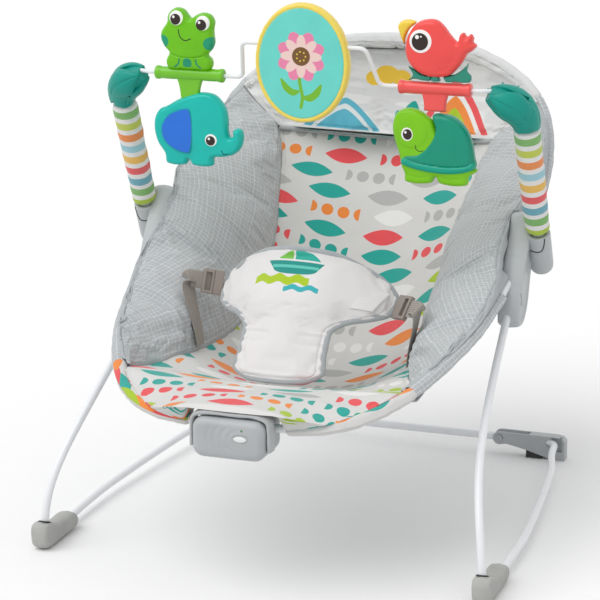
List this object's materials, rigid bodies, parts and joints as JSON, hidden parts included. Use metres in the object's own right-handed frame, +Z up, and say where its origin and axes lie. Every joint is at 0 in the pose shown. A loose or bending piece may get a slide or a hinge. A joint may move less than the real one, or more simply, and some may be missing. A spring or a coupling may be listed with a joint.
{
  "type": "baby bouncer",
  "caption": "Padded infant seat slung between bent steel tubes that spring on rubber feet, with a soft clip-in guard, vibration unit and plug-in toy bar with turning toys.",
  "frame": {"origin": "on the floor, midway between the front and back and between the left and right of the whole bouncer", "axes": "+Z up, +Y from the vibration unit at the front towards the head end, +X to the right as seen from the front"},
  "size_m": [0.4724, 0.5702, 0.5396],
  "materials": {
    "white_tube": "satin",
    "grey_plastic": "satin",
    "hub_plastic": "satin",
    "foot_rubber": "matte",
    "dark_rubber": "matte",
    "steel": "satin",
    "grid_fabric": "matte",
    "plain_fabric": "matte",
    "printed_fabric": "matte",
    "guard_fabric": "matte",
    "taupe_plastic": "satin",
    "webbing": "matte",
    "button_white": "gloss",
    "green_lens": "gloss",
    "cell_wrap": "gloss",
    "sleeve_fabric": "matte",
    "leaf_teal": "satin",
    "frog_green": "satin",
    "turtle_green": "satin",
    "elephant_blue": "satin",
    "ear_blue": "satin",
    "coral": "satin",
    "beak_yellow": "satin",
    "shell_teal": "satin",
    "oval_yellow": "satin",
    "picture_print": "satin"
  },
  "bodies": {
    "floor_frame": {"rear_crossbar": "white_tube", "left_floor_tube": "white_tube", "right_floor_tube": "white_tube", "left_foot": "foot_rubber", "right_foot": "foot_rubber", "left_rear_bracket": "grey_plastic", "right_rear_bracket": "grey_plastic", "left_bracket_screw": "steel", "right_bracket_screw": "steel", "left_rear_pad": "dark_rubber", "right_rear_pad": "dark_rubber"},
    "seat": {"back_hoop": "white_tube", "front_hoop": "white_tube", "back_hem": "plain_fabric", "seat_sling": "plain_fabric", "seat_pad": "printed_fabric", "head_pad": "printed_fabric", "crotch_guard": "guard_fabric", "unit_front_shell": "grey_plastic", "unit_rear_shell": "grey_plastic", "unit_trim": "plain_fabric", "indicator_lamp": "green_lens", "battery": "cell_wrap", "motor": "steel", "left_leg_tube": "white_tube", "right_leg_tube": "white_tube", "left_hub": "hub_plastic", "right_hub": "hub_plastic", "left_front_hem": "plain_fabric", "right_front_hem": "plain_fabric", "left_bolster": "grid_fabric", "right_bolster": "grid_fabric", "left_buckle": "taupe_plastic", "right_buckle": "taupe_plastic", "left_strap": "webbing", "right_strap": "webbing"},
    "toy_bar": {"toy_wire": "white_tube", "left_arm_post": "hub_plastic", "right_arm_post": "hub_plastic", "left_arm_sleeve": "sleeve_fabric", "right_arm_sleeve": "sleeve_fabric", "left_leaf_cover": "leaf_teal", "right_leaf_cover": "leaf_teal"},
    "left_toy": {"frog_tube": "frog_green", "frog": "frog_green", "elephant": "elephant_blue", "elephant_ear": "ear_blue"},
    "right_toy": {"bird_tube": "coral", "bird": "coral", "bird_beak": "beak_yellow", "turtle": "turtle_green", "turtle_shell": "shell_teal"},
    "oval_toy": {"oval_panel": "oval_yellow", "oval_picture": "picture_print"},
    "power_button": {"power_button": "button_white"},
    "left_clip": {"left_clip": "taupe_plastic"},
    "right_clip": {"right_clip": "taupe_plastic"},
    "battery_door": {"battery_door": "grey_plastic"},
    "motor_weight": {"motor_weight": "steel"}
  },
  "joints": [
    {"name": "bounce", "type": "hinge", "parent": "floor_frame", "child": "seat", "pos_m": [0, -0.204, 0.022], "axis": [1, 0, 0], "range_deg": [-10, 4], "stiffness_Nm_per_rad": 90, "springref_deg": 3.43},
    {"name": "toy_bar_lift", "type": "slide", "parent": "seat", "child": "toy_bar", "axis": [0, -0.4211, 0.907], "range_m": [0, 0.028]},
    {"name": "left_toy_spin", "type": "hinge", "parent": "toy_bar", "child": "left_toy", "pos_m": [-0.124, -0.044, 0.459], "axis": [1, 0, 0], "continuous": true},
    {"name": "right_toy_spin", "type": "hinge", "parent": "toy_bar", "child": "right_toy", "pos_m": [0.124, -0.044, 0.459], "axis": [1, 0, 0], "continuous": true},
    {"name": "oval_spin", "type": "hinge", "parent": "toy_bar", "child": "oval_toy", "pos_m": [0, -0.067, 0.498], "axis": [1, 0, 0], "continuous": true},
    {"name": "power_button_press", "type": "slide", "parent": "seat", "child": "power_button", "axis": [0, 1, 0], "range_m": [0, 0.001], "stiffness_N_per_m": 800, "springref_m": -0.0005},
    {"name": "left_clip_release", "type": "slide", "parent": "seat", "child": "left_clip", "axis": [-0.8644, -0.4546, 0.2148], "range_m": [0, 0.005]},
    {"name": "right_clip_release", "type": "slide", "parent": "seat", "child": "right_clip", "axis": [0.762, -0.63, 0.15], "range_m": [0, 0.005]},
    {"name": "battery_door_open", "type": "hinge", "parent": "seat", "child": "battery_door", "pos_m": [0, -0.261, 0.142], "axis": [1, 0, 0], "range_deg": [0, 80]},
    {"name": "motor_weight_spin", "type": "hinge", "parent": "seat", "child": "motor_weight", "pos_m": [-0.0076, -0.27, 0.1725], "axis": [1, 0, 0], "continuous": true}
  ]
}
